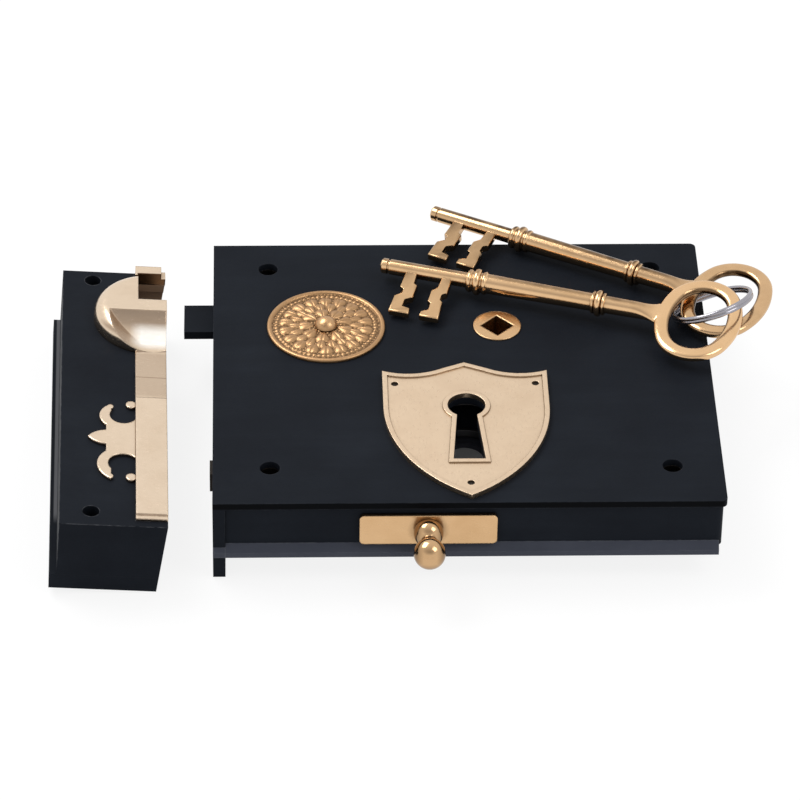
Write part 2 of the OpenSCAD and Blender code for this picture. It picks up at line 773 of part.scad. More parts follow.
module key() {
    rotate([0, 90, 0]) rotate_extrude() {
        square([bit_shank_r, collar_1]);
        square([bit_shank_r + tip_step, tip_l]);
        translate([0, tip_l + groove_w]) square([bit_shank_r + tip_step, collar_1 - tip_l - groove_w]);
        collar(collar_1, bead_1, side_1);
        translate([0, collar_1 - sleeve_l / 2]) square([shank_r, sleeve_l]);
        polygon([[0, collar_1], [shank_r, collar_1], [neck_r, shank_l], [0, shank_l]]);
        collar(collar_2, bead_2, side_2);
    }
    translate([0, 0, -bit_t / 2]) linear_extrude(bit_t) {
        translate([bit_1, 0]) bit_fore();
        translate([bit_2, 0]) bit_rear();
    }
    translate([key_l, 0, -bow_t / 2]) linear_extrude(bow_t) difference() {
        oval(bow_a, bow_b, bow_a - bow_end);
        oval(bow_a - bow_bar, bow_b - bow_bar, bow_a - bow_bar - bow_end);
    }
}

module place_key(tip, rot) translate(tip) rotate([0, 0, rot[2]]) rotate([0, rot[1], 0])
    rotate([rot[0], 0, 0]) children();

module front_key() color(brass) place_key(front_tip, front_rot) key();

module back_key() color(brass) place_key(back_tip, back_rot) key();

module split_ring() color([0.75, 0.76, 0.78]) translate(ring_c) rotate(ring_rot)
    rotate_extrude() for (s = [-1, 1]) translate([ring_r, s * coil_gap]) circle(wire_r);

// Keep

module place_keep() translate([keep_x0, keep_y0, -lip_d]) rotate([0, 0, keep_turn])
    rotate([0, keep_lean, 0]) children();

module keep_holes(z, h) {
    for (y = [hole_low, keep_h - hole_top])
        translate([hole_x, y, z]) cylinder(r = keep_hole_r, h = h);
}

module keep_case() color(iron) place_keep() difference() {
    translate([-keep_w, 0, base_t]) cube([keep_w, keep_h, keep_d - base_t]);
    // mouth that takes the latch and the bolts
    translate([-keep_w + keep_wall, keep_wall, base_t - 1])
        cube([keep_w, keep_h - 2 * keep_wall, keep_d - base_t - keep_wall - rebate + 1]);
    // seat of the brass strip
    translate([strip_x, strip_end, keep_d - rebate])
        cube([strip_w + 1, keep_h - strip_end + 1, rebate + 1]);
    translate([notch_x, notch_y, base_t]) cube([keep_w, notch_h, keep_d]);
    keep_holes(-1, keep_d + 2);
}

module keep_base() color(dark_iron) place_keep() difference() {
    translate([-keep_w - base_lip, 0, 0]) cube([keep_w + base_lip, keep_h, base_t]);
    keep_holes(-1, keep_d + 2);
}

// Cheek of the striker: a disc with a rounded edge, cut by the mouth
module cheek() translate([cheek_c[0], cheek_c[1], keep_d]) rotate_extrude() {
    square([cheek_r - cheek_round, cheek_h]);
    square([cheek_r, cheek_h - cheek_round]);
    translate([cheek_r - cheek_round, cheek_h - cheek_round]) intersection() {
        circle(cheek_round);
        square(cheek_round);
    }
}

module keep_striker() color(brass) place_keep() difference() {
    union() {
        translate([strip_x, strip_end, keep_d - rebate])
            cube([strip_w, keep_h - strip_end, rebate + proud]);
        translate([strip_x, strip_end + step_end, keep_d - rebate])
            cube([strip_w, step_y - strip_end - step_end, rebate + proud + step_t]);
        // post behind the notch
        translate([strip_x, notch_y + notch_h - 1, keep_d])
            cube([strip_w - 1.5, keep_h - notch_y - notch_h + 1, post_h]);
        intersection() {
            cheek();
            translate([-keep_w, 0, 0]) cube([keep_w, keep_h, 2 * keep_d]);
        }
    }
    // scooped lead-in: one hollow along the strip and one across it
    intersection() {
        translate([-keep_w, scoop_y, keep_d + proud + scoop_r1]) rotate([0, 90, 0])
            cylinder(r = scoop_r1, h = 2 * keep_w);
        translate([scoop_x, 0, keep_d + proud + scoop_r2]) rotate([-90, 0, 0])
            cylinder(r = scoop_r2, h = land_y);
        translate([-keep_w, scoop_y0, keep_d]) cube([2 * keep_w, land_y - scoop_y0, keep_d]);
    }
    // notch for the latch
    translate([notch_x, notch_y, 0]) cube([keep_w, notch_h, 2 * keep_d]);
}

// Ornament in the plane of the keep's face, pointing away from the mouth
module fleur_outline() {
    translate([strip_x, fleur_y]) {
        // middle petal between two arcs
        intersection_for (s = [-1, 1]) translate([petal_c[0], s * petal_c[1]]) circle(petal_r);
        translate([-body_size[0], -body_size[1] / 2]) square(body_size);
        for (i = [0, 1]) mirror([0, i]) {
            // side petal as a crescent with a rounded end
            difference() {
                translate(curl_c[i]) circle(curl_r[i]);
                translate(hollow_c[i]) circle(hollow_r[i]);
                translate([curl_x, hollow_c[i][1]]) square(2 * curl_r[i]);
            }
            translate(curl_end_c[i]) circle(curl_end_r);
            // small horn at the strip
            translate(horn_c[i]) circle(horn_r);
        }
    }
}

module keep_fleur() color(brass) place_keep() translate([0, 0, keep_d]) linear_extrude(fleur_t)
    difference() {
        fleur_outline();
        translate([strip_x, 0]) square([strip_w, keep_h]);
    }

face_plate();
rim();
back_cap();
fixing_tubes();
cap_pillars();
cap_screws();
rose();
rose_stud();
follower();
latch_bar();
latch_pivot();
latch_spring();
spring_post();
key_bolt();
bolt_stump();
tumbler();
tumbler_pivot();
tumbler_spring();
spring_stop();
wards();
night_bolt();
night_spring();
snib_plate();
snib_knob();
shield();
shield_pins();
front_key();
back_key();
split_ring();
keep_case();
keep_base();
keep_striker();
keep_fleur();
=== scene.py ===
import json
import math

import bmesh
import bpy
from mathutils import Euler, Matrix, Vector

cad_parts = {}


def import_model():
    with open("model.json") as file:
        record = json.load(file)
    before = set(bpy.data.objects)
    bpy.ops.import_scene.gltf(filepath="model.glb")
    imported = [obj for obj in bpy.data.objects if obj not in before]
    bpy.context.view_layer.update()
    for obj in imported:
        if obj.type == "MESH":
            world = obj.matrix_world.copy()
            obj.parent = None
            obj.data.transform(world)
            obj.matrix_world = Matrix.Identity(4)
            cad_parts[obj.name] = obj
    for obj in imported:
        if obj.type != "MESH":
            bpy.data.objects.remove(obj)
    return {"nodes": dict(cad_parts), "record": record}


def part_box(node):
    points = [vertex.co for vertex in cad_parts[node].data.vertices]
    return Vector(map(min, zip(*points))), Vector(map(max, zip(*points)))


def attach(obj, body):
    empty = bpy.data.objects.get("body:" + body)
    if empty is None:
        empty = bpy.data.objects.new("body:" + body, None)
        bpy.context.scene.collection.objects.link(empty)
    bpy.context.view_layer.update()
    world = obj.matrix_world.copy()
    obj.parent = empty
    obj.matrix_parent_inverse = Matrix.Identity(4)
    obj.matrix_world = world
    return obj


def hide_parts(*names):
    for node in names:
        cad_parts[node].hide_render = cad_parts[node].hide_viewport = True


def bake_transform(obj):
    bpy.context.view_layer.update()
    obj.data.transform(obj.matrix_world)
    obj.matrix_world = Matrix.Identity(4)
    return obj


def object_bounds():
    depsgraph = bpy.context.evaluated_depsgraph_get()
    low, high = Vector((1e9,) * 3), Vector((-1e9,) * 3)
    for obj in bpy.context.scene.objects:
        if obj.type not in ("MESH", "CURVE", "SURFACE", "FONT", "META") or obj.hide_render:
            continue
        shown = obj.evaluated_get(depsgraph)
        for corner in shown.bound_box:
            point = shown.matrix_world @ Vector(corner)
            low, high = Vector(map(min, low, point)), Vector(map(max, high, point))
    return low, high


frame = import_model()
cad_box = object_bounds()
nodes = frame["nodes"]
scene = bpy.context.scene
scene.view_settings.view_transform = "Standard"
MM = 0.001
WHITE = (1.0, 1.0, 1.0)
# Where the keep lies, in millimetres and degrees
KEEP_AT = (-99.5, -80.4, -9)
KEEP_TURN, KEEP_LEAN = 1.07, 4.35
# Colour sockets of a Mix node, which uses each name more than once
MIX_A, MIX_B, MIX_RESULT = 6, 7, 2


# Node helpers


class Graph:
    """A node tree and short ways to add to it."""

    def __init__(self, tree):
        self.tree = tree

    def add(self, kind, inputs=None, **settings):
        """A new node with its settings and inputs."""
        node = self.tree.nodes.new(kind)
        for key, value in settings.items():
            setattr(node, key, value)
        self.feed(node, inputs or {})
        return node

    def feed(self, node, inputs):
        """Give each named input of a node an output of another node or a constant."""
        for key, value in inputs.items():
            socket = node.inputs[key]
            if isinstance(value, bpy.types.NodeSocket):
                self.tree.links.new(value, socket)
            elif socket.type == "RGBA":
                socket.default_value = (*value, 1.0)
            else:
                socket.default_value = value

    def split(self, vector):
        return self.add("ShaderNodeSeparateXYZ", {"Vector": vector}).outputs

    def remap(self, value, low, high, to_low=0.0, to_high=1.0):
        """A value carried from one range to another and held between its ends."""
        limits = {"From Min": low, "From Max": high, "To Min": to_low, "To Max": to_high}
        return self.add("ShaderNodeMapRange", {"Value": value, **limits}).outputs["Result"]

    def math(self, operation, a, b=0.0):
        return self.add("ShaderNodeMath", {0: a, 1: b}, operation=operation).outputs["Value"]

    def times(self, first, *others):
        """Product of values or masks."""
        for other in others:
            first = self.math("MULTIPLY", first, other)
        return first

    def most(self, first, *others):
        """Highest of values or masks."""
        for other in others:
            first = self.math("MAXIMUM", first, other)
        return first

    def blend(self, factor, a, b):
        """Colour a where the factor is 0 and colour b where it is 1."""
        inputs = {"Factor": factor, MIX_A: a, MIX_B: b}
        return self.add("ShaderNodeMix", inputs, data_type="RGBA").outputs[MIX_RESULT]


class Surface(Graph):
    """A new material with its Principled shader, and masks by place and by the way a face looks."""

    def __init__(self, name):
        self.material = bpy.data.materials.new(name)
        self.material.use_nodes = True
        super().__init__(self.material.node_tree)
        self.shader = self.tree.nodes["Principled BSDF"]
        self.coords = self.add("ShaderNodeTexCoord").outputs["Object"]
        self.normal = self.add("ShaderNodeNewGeometry").outputs["Normal"]
        self.place = self.split(self.coords)
        self.facing = self.split(self.normal)

    def band(self, value, start, stop, soft):
        """1 between two values and 0 outside, with soft ends."""
        rise = self.remap(value, start - soft, start + soft)
        fall = self.remap(value, stop + soft, stop - soft)
        return self.times(rise, fall)

    def patch(self, x_ends, y_ends, soft):
        """1 inside a rectangle of the X and Y axes and 0 outside, with soft ends."""
        across = self.band(self.place["X"], *x_ends, soft)
        along = self.band(self.place["Y"], *y_ends, soft)
        return self.times(across, along)

    def stored(self, attribute):
        """A value kept in the points of the mesh."""
        return self.add("ShaderNodeAttribute", attribute_name=attribute).outputs["Fac"]

    def noise(self, scale, detail=4.0, rough=0.55, stretch=None):
        vector = self.coords
        if stretch:
            vector = self.add("ShaderNodeMapping", {"Vector": vector, "Scale": stretch}).outputs["Vector"]
        inputs = {"Vector": vector, "Scale": scale, "Detail": detail, "Roughness": rough}
        return self.add("ShaderNodeTexNoise", inputs).outputs["Fac"]

    def rounded(self, radius):
        """The normal of the solid with its edges rounded over."""
        return self.add("ShaderNodeBevel", {"Radius": radius}, samples=6).outputs["Normal"]

    def edges(self, radius):
        """1 on the sharp edges of the solid and 0 on its faces."""
        normals = {0: self.rounded(radius), 1: self.normal}
        alike = self.add("ShaderNodeVectorMath", normals, operation="DOT_PRODUCT").outputs["Value"]
        return self.remap(alike, 0.99, 0.8)

    def hollows(self, distance, shut, clear, **settings):
        """1 where as little as shut of the surroundings is open and 0 from clear on."""
        node = self.add("ShaderNodeAmbientOcclusion", {"Distance": distance}, samples=8, **settings)
        return self.remap(node.outputs["AO"], shut, clear, 1.0, 0.0)

    def bump(self, height, strength, distance, radius):
        """Relief from a height, over edges rounded by a radius."""
        relief = {"Height": height, "Strength": strength, "Distance": distance}
        node = self.add("ShaderNodeBump", {"Normal": self.rounded(radius), **relief})
        self.feed(self.shader, {"Normal": node.outputs["Normal"]})


# Masks of the iron, with margins and soft ends in metres


def behind_cap(g):
    """1 in the middle of the case's cap and under it, and 0 round its edges and outside."""
    low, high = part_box("back_cap")
    side, foot, top = 8 * MM, 16 * MM, 10 * MM
    return g.patch((low.x + side, high.x - side), (low.y + foot, high.y - top), 2 * MM)


def under_keep(g):
    """1 on the floor under the keep and 0 outside."""
    low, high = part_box("keep_case")
    side, foot, top = 6 * MM, 4 * MM, 3 * MM
    return g.patch((low.x + side, high.x - side), (low.y + foot, high.y - top), MM)


def keep_mouth(g):
    """1 on the walls inside the keep and 0 on its outer faces."""
    low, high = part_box("keep_case")
    deep, past, foot, top = 14 * MM, 5 * MM, 5 * MM, 2 * MM
    inside = g.patch((high.x - deep, high.x + past), (low.y + foot, high.y - top), MM)
    walls = g.remap(g.facing["Z"], 0.9, 0.7)
    return g.times(inside, walls)


def plate_edge_shadow(g):
    """Painted shadow: 1 on the lower edge of the face plate, which is painted near black as the shadow of
    its overhang, and 0 on its faces.
    """
    low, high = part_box("face_plate")
    depth, reach = 2.3 * MM, 2 * MM
    downward = g.remap(g.facing["Y"], -0.6, -0.9)
    thickness = g.band(g.place["Z"], high.z - depth, high.z, 0.2 * MM)
    lowest = g.remap(g.place["Y"], low.y + reach, low.y + reach / 2)
    return g.times(downward, thickness, lowest)


def base_edge_highlight(g):
    """Painted highlight: 1 along a thin strip of the keep's base beside the keep's wall, from some way up
    its length, and 0 elsewhere.
    """
    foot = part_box("keep_base")[0].y
    # Sides of the strip along X where Y is 0
    start, stop, soft = -136.3 * MM, -135.0 * MM, 0.15 * MM
    highlight_starts, highlight_full = foot + 26 * MM, foot + 31 * MM
    turned = g.times(g.place["Y"], math.tan(math.radians(KEEP_TURN)))
    strip = g.band(g.math("ADD", g.place["X"], turned), start, stop, soft)
    return g.times(strip, g.remap(g.place["Y"], highlight_starts, highlight_full))


def keep_above_foot(g):
    """1 on the keep above its foot and 0 along its foot, where its worn edges and their painted highlight
    stop.
    """
    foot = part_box("keep_case")[0].z
    return g.remap(g.place["Z"], foot + 4 * MM, foot + 9 * MM)


# Stains, painted shade and painted highlights of the brass

# Places along the keep's striker in metres from its foot, with the notch's length from its top
SCOOP = (87 * MM, 106 * MM)
SCOOP_FOOT = (91 * MM, 99 * MM)
STRIP = (64 * MM, 88 * MM)
STRIP_JOINTS = (63.2 * MM, 74.5 * MM)
NOTCH_L = 20 * MM
SCOOP_W = 12 * MM
JOINT_HALF = 0.3 * MM
# Share of darkening in each place: painted shade in the scoop and on the knob, tarnish on the strip, and
# dark joints
SCOOP_SHADE, STRIP_DULL, JOINT_DULL, KNOB_SHADE = 0.5, 0.3, 0.6, 0.6


def keep_tarnish_and_shade(g):
    """Painted shade inside the latch notch and high in the scoop, and old tarnish and dark joints on the
    strip under it.
    """
    low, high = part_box("keep_striker")
    along = g.place["Y"]
    notch = g.times(g.band(along, high.y - NOTCH_L, high.y, MM), g.remap(g.facing["Y"], -0.6, -0.85))
    slope = g.most(g.remap(g.facing["Y"], -0.3, -0.5), g.remap(g.facing["X"], 0.25, 0.5))
    upward = g.remap(g.facing["Z"], 0.4, 0.6)
    scoop = g.times(g.band(along, low.y + SCOOP[0], low.y + SCOOP[1], MM), slope, upward)
    strip = g.times(g.band(along, low.y + STRIP[0], low.y + STRIP[1], MM), STRIP_DULL)
    flat = g.remap(g.facing["Z"], 0.9, 0.95)
    for place in STRIP_JOINTS:
        middle = low.y + place
        joint = g.band(along, middle - JOINT_HALF, middle + JOINT_HALF, JOINT_HALF / 2)
        strip = g.most(strip, g.times(joint, JOINT_DULL, flat))
    return g.most(notch, g.times(scoop, SCOOP_SHADE), strip)


def scoop_highlight(g):
    """Painted highlight, near white, on the foot of the scoop where it faces up."""
    low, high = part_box("keep_striker")
    foot = g.band(g.place["Y"], low.y + SCOOP_FOOT[0], low.y + SCOOP_FOOT[1], 1.5 * MM)
    across = g.band(g.place["X"], high.x - SCOOP_W, high.x, 2 * MM)
    return g.times(foot, g.remap(g.facing["Z"], 0.75, 0.88), across)


def relief_dirt(g):
    """Dirt on the low ground of the rosette's relief."""
    return g.stored("depth")


def key_tarnish_and_shade(g):
    """The tarnish and painted shade kept in a key's points, in clouds."""
    return g.times(g.stored("tarnish"), g.remap(g.noise(scale=140, rough=0.6), 0.3, 0.65, 0.6, 1.0))


def knob_shade(g):
    """Painted shade on the sides and the underside of the snib's knob."""
    sides = g.remap(g.math("ABSOLUTE", g.facing["X"]), 0.4, 0.85)
    below = g.remap(g.facing["Z"], -0.1, -0.65)
    return g.times(g.most(sides, below), KNOB_SHADE)


# Materials


def paint(name, colour, light, edge, roughness, gloss=0.03, inside=None, zone_colour=None, edge_reach=None):
    """Japanned iron: satin black with faint brush drag, casting grain and worn edges, which on the keep are
    lightened as a painted highlight; a mask can give a zone its own colour.
    """
    g = Surface(name)
    cloud = g.remap(g.noise(scale=38, detail=5, rough=0.6), 0.3, 0.75)
    brushed = g.noise(scale=220, detail=3, rough=0.5, stretch=(0.12, 1, 1))
    drag = g.remap(brushed, 0.3, 0.7, 0.55, 1.0)
    base = g.blend(g.times(cloud, drag), colour, light)
    worn_and_lit = g.times(g.edges(radius=0.5 * MM), g.remap(g.noise(scale=420, detail=3), 0.35, 0.65))
    if edge_reach:
        worn_and_lit = g.times(worn_and_lit, edge_reach(g))
    base = g.blend(worn_and_lit, base, edge)
    # A zone in its own colour: bare iron in the keep's mouth, painted shadow on the plate's edge and a
    # painted highlight on the keep's base
    if inside:
        base = g.blend(inside(g), base, zone_colour)
    satin = g.remap(g.noise(scale=150), 0.3, 0.7, *roughness)
    g.feed(g.shader, {"Base Color": base, "Roughness": satin, "Specular IOR Level": gloss})
    fine, coarse = g.noise(scale=1300, detail=3, rough=0.6), g.noise(scale=170)
    grain = g.math("ADD", fine, g.times(coarse, 1.6))
    g.bump(grain, strength=0.16, distance=0.22 * MM, radius=0.35 * MM)
    return g.material


def metal(name, colour, dull, dark, roughness, lines=(0.3, 1, 1), hollow=0.45, grain=0.025, tarnish=0.5,
          edge=0.4 * MM, crease=0.4, stain_and_shade=None, painted_highlight=None, bright=None):
    """Bare metal: polishing lines, clouds of tarnish and dirt left in the hollows, with painted shade and a
    painted highlight where a mask asks for them.
    """
    g = Surface(name)
    cloud = g.remap(g.noise(scale=90, detail=5, rough=0.6), 0.42, 0.78, 0.0, tarnish)
    base = g.blend(cloud, colour, dull)
    uneven = g.remap(g.noise(scale=260, detail=3), 0.3, 0.65, 0.75, 1.0)
    dirt_and_shade = g.times(g.hollows(distance=2.4 * MM, shut=0.25, clear=1.0), uneven, hollow)
    corners = g.hollows(distance=0.6 * MM, shut=0.55, clear=0.9, only_local=True)
    dirt_and_shade = g.most(dirt_and_shade, g.times(corners, crease))
    # Stains, dirt in the relief, and painted shade where a mask asks for it
    if stain_and_shade:
        dirt_and_shade = g.most(dirt_and_shade, stain_and_shade(g))
    base = g.blend(dirt_and_shade, base, dark)
    # Painted highlight where a mask asks for it
    if painted_highlight:
        base = g.blend(painted_highlight(g), base, bright)
    polish = g.noise(scale=1600, detail=3, rough=0.6, stretch=lines)
    shine = g.remap(polish, 0.3, 0.7, *roughness)
    g.feed(g.shader, {"Base Color": base, "Roughness": shine, "Metallic": 1.0})
    relief = g.math("ADD", polish, g.noise(scale=400, detail=3))
    g.bump(relief, strength=grain, distance=0.1 * MM, radius=edge)
    return g.material


# Japanned irons by name; inside is a mask and the colour after it is the colour of its zone: bare iron in
# the keep's mouth, painted shadow on the plate's lower edge, a painted highlight on the keep's base and a
# darker middle on the cap
BLACK = {"colour": (0.0068, 0.0083, 0.0116), "light": (0.0112, 0.0137, 0.0185), "roughness": (0.42, 0.56)}
BLACK_EDGE = (0.03, 0.032, 0.037)
PAINTS = {
    "japanned_iron": dict(BLACK, edge=BLACK_EDGE),
    # Near black on the plate's lower edge face: painted shadow of its overhang
    "plate_iron": dict(BLACK, edge=BLACK_EDGE, inside=plate_edge_shadow, zone_colour=(0.0015, 0.0018, 0.0025)),
    # The keep's edges: worn paint made lighter as a painted highlight; its mouth is bare rusty iron
    "keep_iron": dict(
        BLACK, edge=(0.11, 0.113, 0.123), edge_reach=keep_above_foot, inside=keep_mouth, zone_colour=(0.2, 0.13, 0.085)
    ),
    # Light grey strip on the base beside the keep's wall: painted highlight
    "base_iron": dict(BLACK, edge=(0.012, 0.014, 0.018), inside=base_edge_highlight, zone_colour=(0.095, 0.096, 0.103)),
    "cap_iron": dict(
        colour=(0.037, 0.041, 0.055), light=(0.05, 0.055, 0.072), edge=(0.095, 0.1, 0.113),
        roughness=(0.3, 0.45), gloss=0.1, inside=behind_cap, zone_colour=(0.035, 0.037, 0.048),
    ),
}
# Bare metals by name; lines stretches the polishing lines, and dark is the colour of the dirt, the stains
# and the painted shade
EVEN = (1, 1, 1)
CASTING = {"lines": EVEN, "hollow": 1.0, "grain": 0.2, "tarnish": 0.7, "edge": 0.2 * MM}
METALS = {
    "raw_iron": dict(
        colour=(0.13, 0.13, 0.135), dull=(0.07, 0.065, 0.062), dark=(0.02, 0.017, 0.015),
        roughness=(0.4, 0.6),
    ),
    "dark_iron": dict(
        colour=(0.035, 0.03, 0.026), dull=(0.022, 0.019, 0.017), dark=(0.01, 0.009, 0.008),
        roughness=(0.4, 0.6),
    ),
    "steel": dict(
        colour=(0.5, 0.5, 0.52), dull=(0.36, 0.35, 0.35), dark=(0.08, 0.07, 0.06),
        roughness=(0.25, 0.42),
    ),
    "ring_steel": dict(
        colour=(0.36, 0.35, 0.38), dull=(0.27, 0.26, 0.28), dark=(0.08, 0.07, 0.08),
        roughness=(0.16, 0.24), hollow=0.4, grain=0.01, tarnish=0.25, crease=0.15,
    ),
    "cast_brass": dict(
        CASTING,
        colour=(0.54, 0.33, 0.17), dull=(0.38, 0.21, 0.1), dark=(0.06, 0.03, 0.012),
        roughness=(0.24, 0.42),
    ),
    "rosette_brass": dict(
        CASTING,
        colour=(0.43, 0.255, 0.126), dull=(0.34, 0.19, 0.088), dark=(0.05, 0.026, 0.011),
        roughness=(0.28, 0.45), stain_and_shade=relief_dirt,
    ),
    "polished_brass": dict(
        colour=(0.68, 0.44, 0.235), dull=(0.55, 0.33, 0.155), dark=(0.09, 0.05, 0.025),
        roughness=(0.2, 0.28), hollow=0.9, edge=0.7 * MM,
    ),
    # Sides and underside of the knob darker: painted shade
    "knob_brass": dict(
        colour=(0.62, 0.4, 0.215), dull=(0.48, 0.29, 0.14), dark=(0.09, 0.05, 0.025),
        roughness=(0.12, 0.2), hollow=0.9, edge=0.7 * MM, stain_and_shade=knob_shade,
    ),
    "satin_brass": dict(
        colour=(0.69, 0.53, 0.375), dull=(0.6, 0.44, 0.3), dark=(0.13, 0.07, 0.03),
        roughness=(0.26, 0.38), lines=(1, 0.3, 1), crease=0.9,
    ),
    # Darker upper backs of the shanks and insides of the bows: painted shade; the bits carry tarnish
    "key_brass": dict(
        colour=(0.78, 0.51, 0.28), dull=(0.62, 0.38, 0.18), dark=(0.06, 0.03, 0.012),
        roughness=(0.1, 0.2), lines=EVEN, hollow=0.9, grain=0.08, edge=0.3 * MM, stain_and_shade=key_tarnish_and_shade,
    ),
    # Darker notch and upper scoop: painted shade; the strip carries tarnish and dark joints
    "keep_brass": dict(
        colour=(0.75, 0.6, 0.45), dull=(0.64, 0.49, 0.35), dark=(0.15, 0.075, 0.035),
        roughness=(0.16, 0.28), hollow=0.8, edge=0.8 * MM, stain_and_shade=keep_tarnish_and_shade,
        # Near-white foot of the scoop: painted highlight
        painted_highlight=scoop_highlight, bright=(0.98, 0.93, 0.86),
    ),
}
MATERIALS = {name: paint(name, **look) for name, look in PAINTS.items()}
MATERIALS.update({name: metal(name, **look) for name, look in METALS.items()})
# Nodes whose finish isn't the plain one of their slot
FINISH = {
    "face_plate": "plate_iron",
    "back_cap": "cap_iron",
    "keep_case": "keep_iron",
    "keep_base": "base_iron",
    "keep_striker": "keep_brass",
    "keep_fleur": "keep_brass",
    "snib_knob": "knob_brass",
    "shield_pins": "dark_iron",
    "fixing_tubes": "dark_iron",
    "key_bolt": "dark_iron",
    "night_bolt": "dark_iron",
}

for part in frame["record"]["subparts"]:
    mesh = nodes[part["node"]].data
    mesh.materials.clear()
    mesh.materials.append(MATERIALS[FINISH.get(part["node"], part["material_slot"])])


# Shapes shared by the pieces


def mound(x):
    """Round mound: 1 at the middle and 0 from 1 outward."""
    return math.sqrt(max(0.0, 1.0 - x * x))


def rounded_square(angle, half_x, half_y, fullness):
    """Point of a rounded section: an ellipse at a fullness of 2 and squarer above it."""
    x, y = math.cos(angle), math.sin(angle)
    power = 2 / fullness
    return half_x * math.copysign(abs(x) ** power, x), half_y * math.copysign(abs(y) ** power, y)


def skin(bm, rings, closed):
    """Faces between rings of points; a closed row joins its ends and an open one gets end caps."""
    rows = [[bm.verts.new(point) for point in ring] for ring in rings]
    count = len(rows[0])
    for k, row in enumerate(rows if closed else rows[:-1]):
        above = rows[(k + 1) % len(rows)]
        for j in range(count):
            m = (j + 1) % count
            bm.faces.new((row[j], row[m], above[m], above[j]))
    if not closed:
        bm.faces.new(rows[0][::-1])
        bm.faces.new(rows[-1])


def take_mesh(bm, name):
    """A mesh from what bmesh built."""
    mesh = bpy.data.meshes.new(name)
    bm.to_mesh(mesh)
    bm.free()
    return mesh


def smooth(mesh, angle):
    """Smooth faces that keep the edges sharper than an angle in degrees."""
    for face in mesh.polygons:
        face.use_smooth = True
    mesh.set_sharp_from_angle(angle=math.radians(angle))


def add_piece(name, mesh, finish, node=None):
    """Put a piece in the scene, in the place of a solid of the frame where it stands for one."""
    mesh.materials.clear()
    mesh.materials.append(MATERIALS[finish])
    obj = bpy.data.objects.new(name, mesh)
    scene.collection.objects.link(obj)
    if node:
        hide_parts(node)
    return obj


# Springs, whose leaves stand in the places of their solids


def leaf_spring(name):
    """The leaf of a solid spring, a copy of its solid in its place."""
    leaf = name.replace("spring", "leaf")
    obj = add_piece(leaf, nodes[name].data.copy(), "steel", name)
    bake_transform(obj)


leaf_spring("latch_spring")
leaf_spring("tumbler_spring")


# Foot of the cap where it runs on across the end of the forend, in metres

FOOT_EDGE = 1.9 * MM
CORNER_L, CORNER_IN = 0.4 * MM, 0.3 * MM


def foot_end():
    """The bevelled foot from the end of the cap to the forend's face, with its outer corner softened."""
    cap, plate = (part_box(node)[0] for node in ("back_cap", "face_plate"))
    front, face = cap.y, plate.y
    section = ((face, 0.0), (front, 0.0), (front, FOOT_EDGE), (face, FOOT_EDGE + face - front))
    insets = ((plate.x, CORNER_IN), (plate.x + CORNER_L, 0.0), (cap.x, 0.0))
    bm = bmesh.new()
    skin(bm, [[(x, max(y, front + inset), z) for y, z in section] for x, inset in insets], False)
    bmesh.ops.recalc_face_normals(bm, faces=bm.faces)
    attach(add_piece("foot_end", take_mesh(bm, "foot_end"), "cap_iron"), "case")


foot_end()


# Keep, whose end walls draw in toward the foot on the side of the lock, in millimetres

KEEP_DEPTH = 26.5
DRAW_IN = 2.3
# How near to the keep's open side a point lies that is moved
MOUTH_EDGE = 1
keep_turn = Matrix.Rotation(math.radians(KEEP_TURN), 4, "Z")
keep_lean = Matrix.Rotation(math.radians(KEEP_LEAN), 4, "Y")
keep_place = Matrix.Translation(KEEP_AT) @ keep_turn @ keep_lean


def drawn_in(name, node):
    """A solid of the keep with the edge beside the lock moved in, most at the foot."""
    mesh = nodes[node].data.copy()
    to_keep = keep_place.inverted()
    for vert in mesh.vertices:
        place = to_keep @ (vert.co / MM)
        if place.x > -MOUTH_EDGE:
            place.x -= DRAW_IN * (1 - place.z / KEEP_DEPTH)
            vert.co = keep_place @ place * MM
    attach(add_piece(name, mesh, FINISH[node], node), "keep")


drawn_in("keep_box", "keep_case")
drawn_in("keep_foot", "keep_base")


# Keys, in millimetres from the tip along the shank

KEY_L = 110.5
TIP_L = 2.2
TIP_CHAMFER = 0.5
GROOVE_W = 0.8
SHANK_R = {"groove": 2.2, "bit": 2.6, "sleeve": 3.4, "neck": 2.8}
SLEEVE_L = 7
COLLAR_R = 4.5
# Collars: place, width of the middle bead, then width, step down and distance of the beads beside it
COLLARS = ((33.9, 2.4, 1.8, 0.6, 2.6), (76.2, 2.2, 1.2, 0.7, 1.8))
BIT_T = 2.6
BIT_BEVEL = 0.3
# The two steps of the bit, each a crooked finger with ward notches in its sides
BITS = {
    11.0: (
        (-1.8, 0), (2.2, 0), (2.2, -7.4), (4, -7.6), (4.1, -14), (1.4, -15.2), (1.6, -19),
        (4.7, -18.9), (4.9, -21.6), (-2.1, -21.6), (-2.3, -14.2), (0.3, -12.6), (0.2, -10.3), (-1.7, -9.8),
    ),
    23.5: (
        (-1.7, 0), (1.7, 0), (2.3, -9.3), (0.4, -10), (0.6, -13), (2.1, -13.4), (2.8, -21.6),
        (-3.9, -21.6), (-3.9, -19.3), (-1.2, -18.5), (-1.5, -14.6), (-3.1, -14.4), (-3.4, -9), (-1.2, -7.4),
    ),
}
# Half sizes of the bow along and across the shank
BOW_A, BOW_B = 14.4, 19.0
# How far the radius of the bow's end arcs falls short of BOW_A
BOW_END = 1.25
# Width, thickness and squareness of the bow's bar
BOW_BAR, BOW_T, BOW_FULLNESS = 5.0, 3.0, 2.7
BOW_MIDDLE = Vector((KEY_L, 0, 0))
NECK_X = KEY_L - BOW_A
FLARE_L = 8.5
FLARE_HALF = 6.4
FLARE_T = 0.9 * BOW_T
FLARE_STEPS = 20
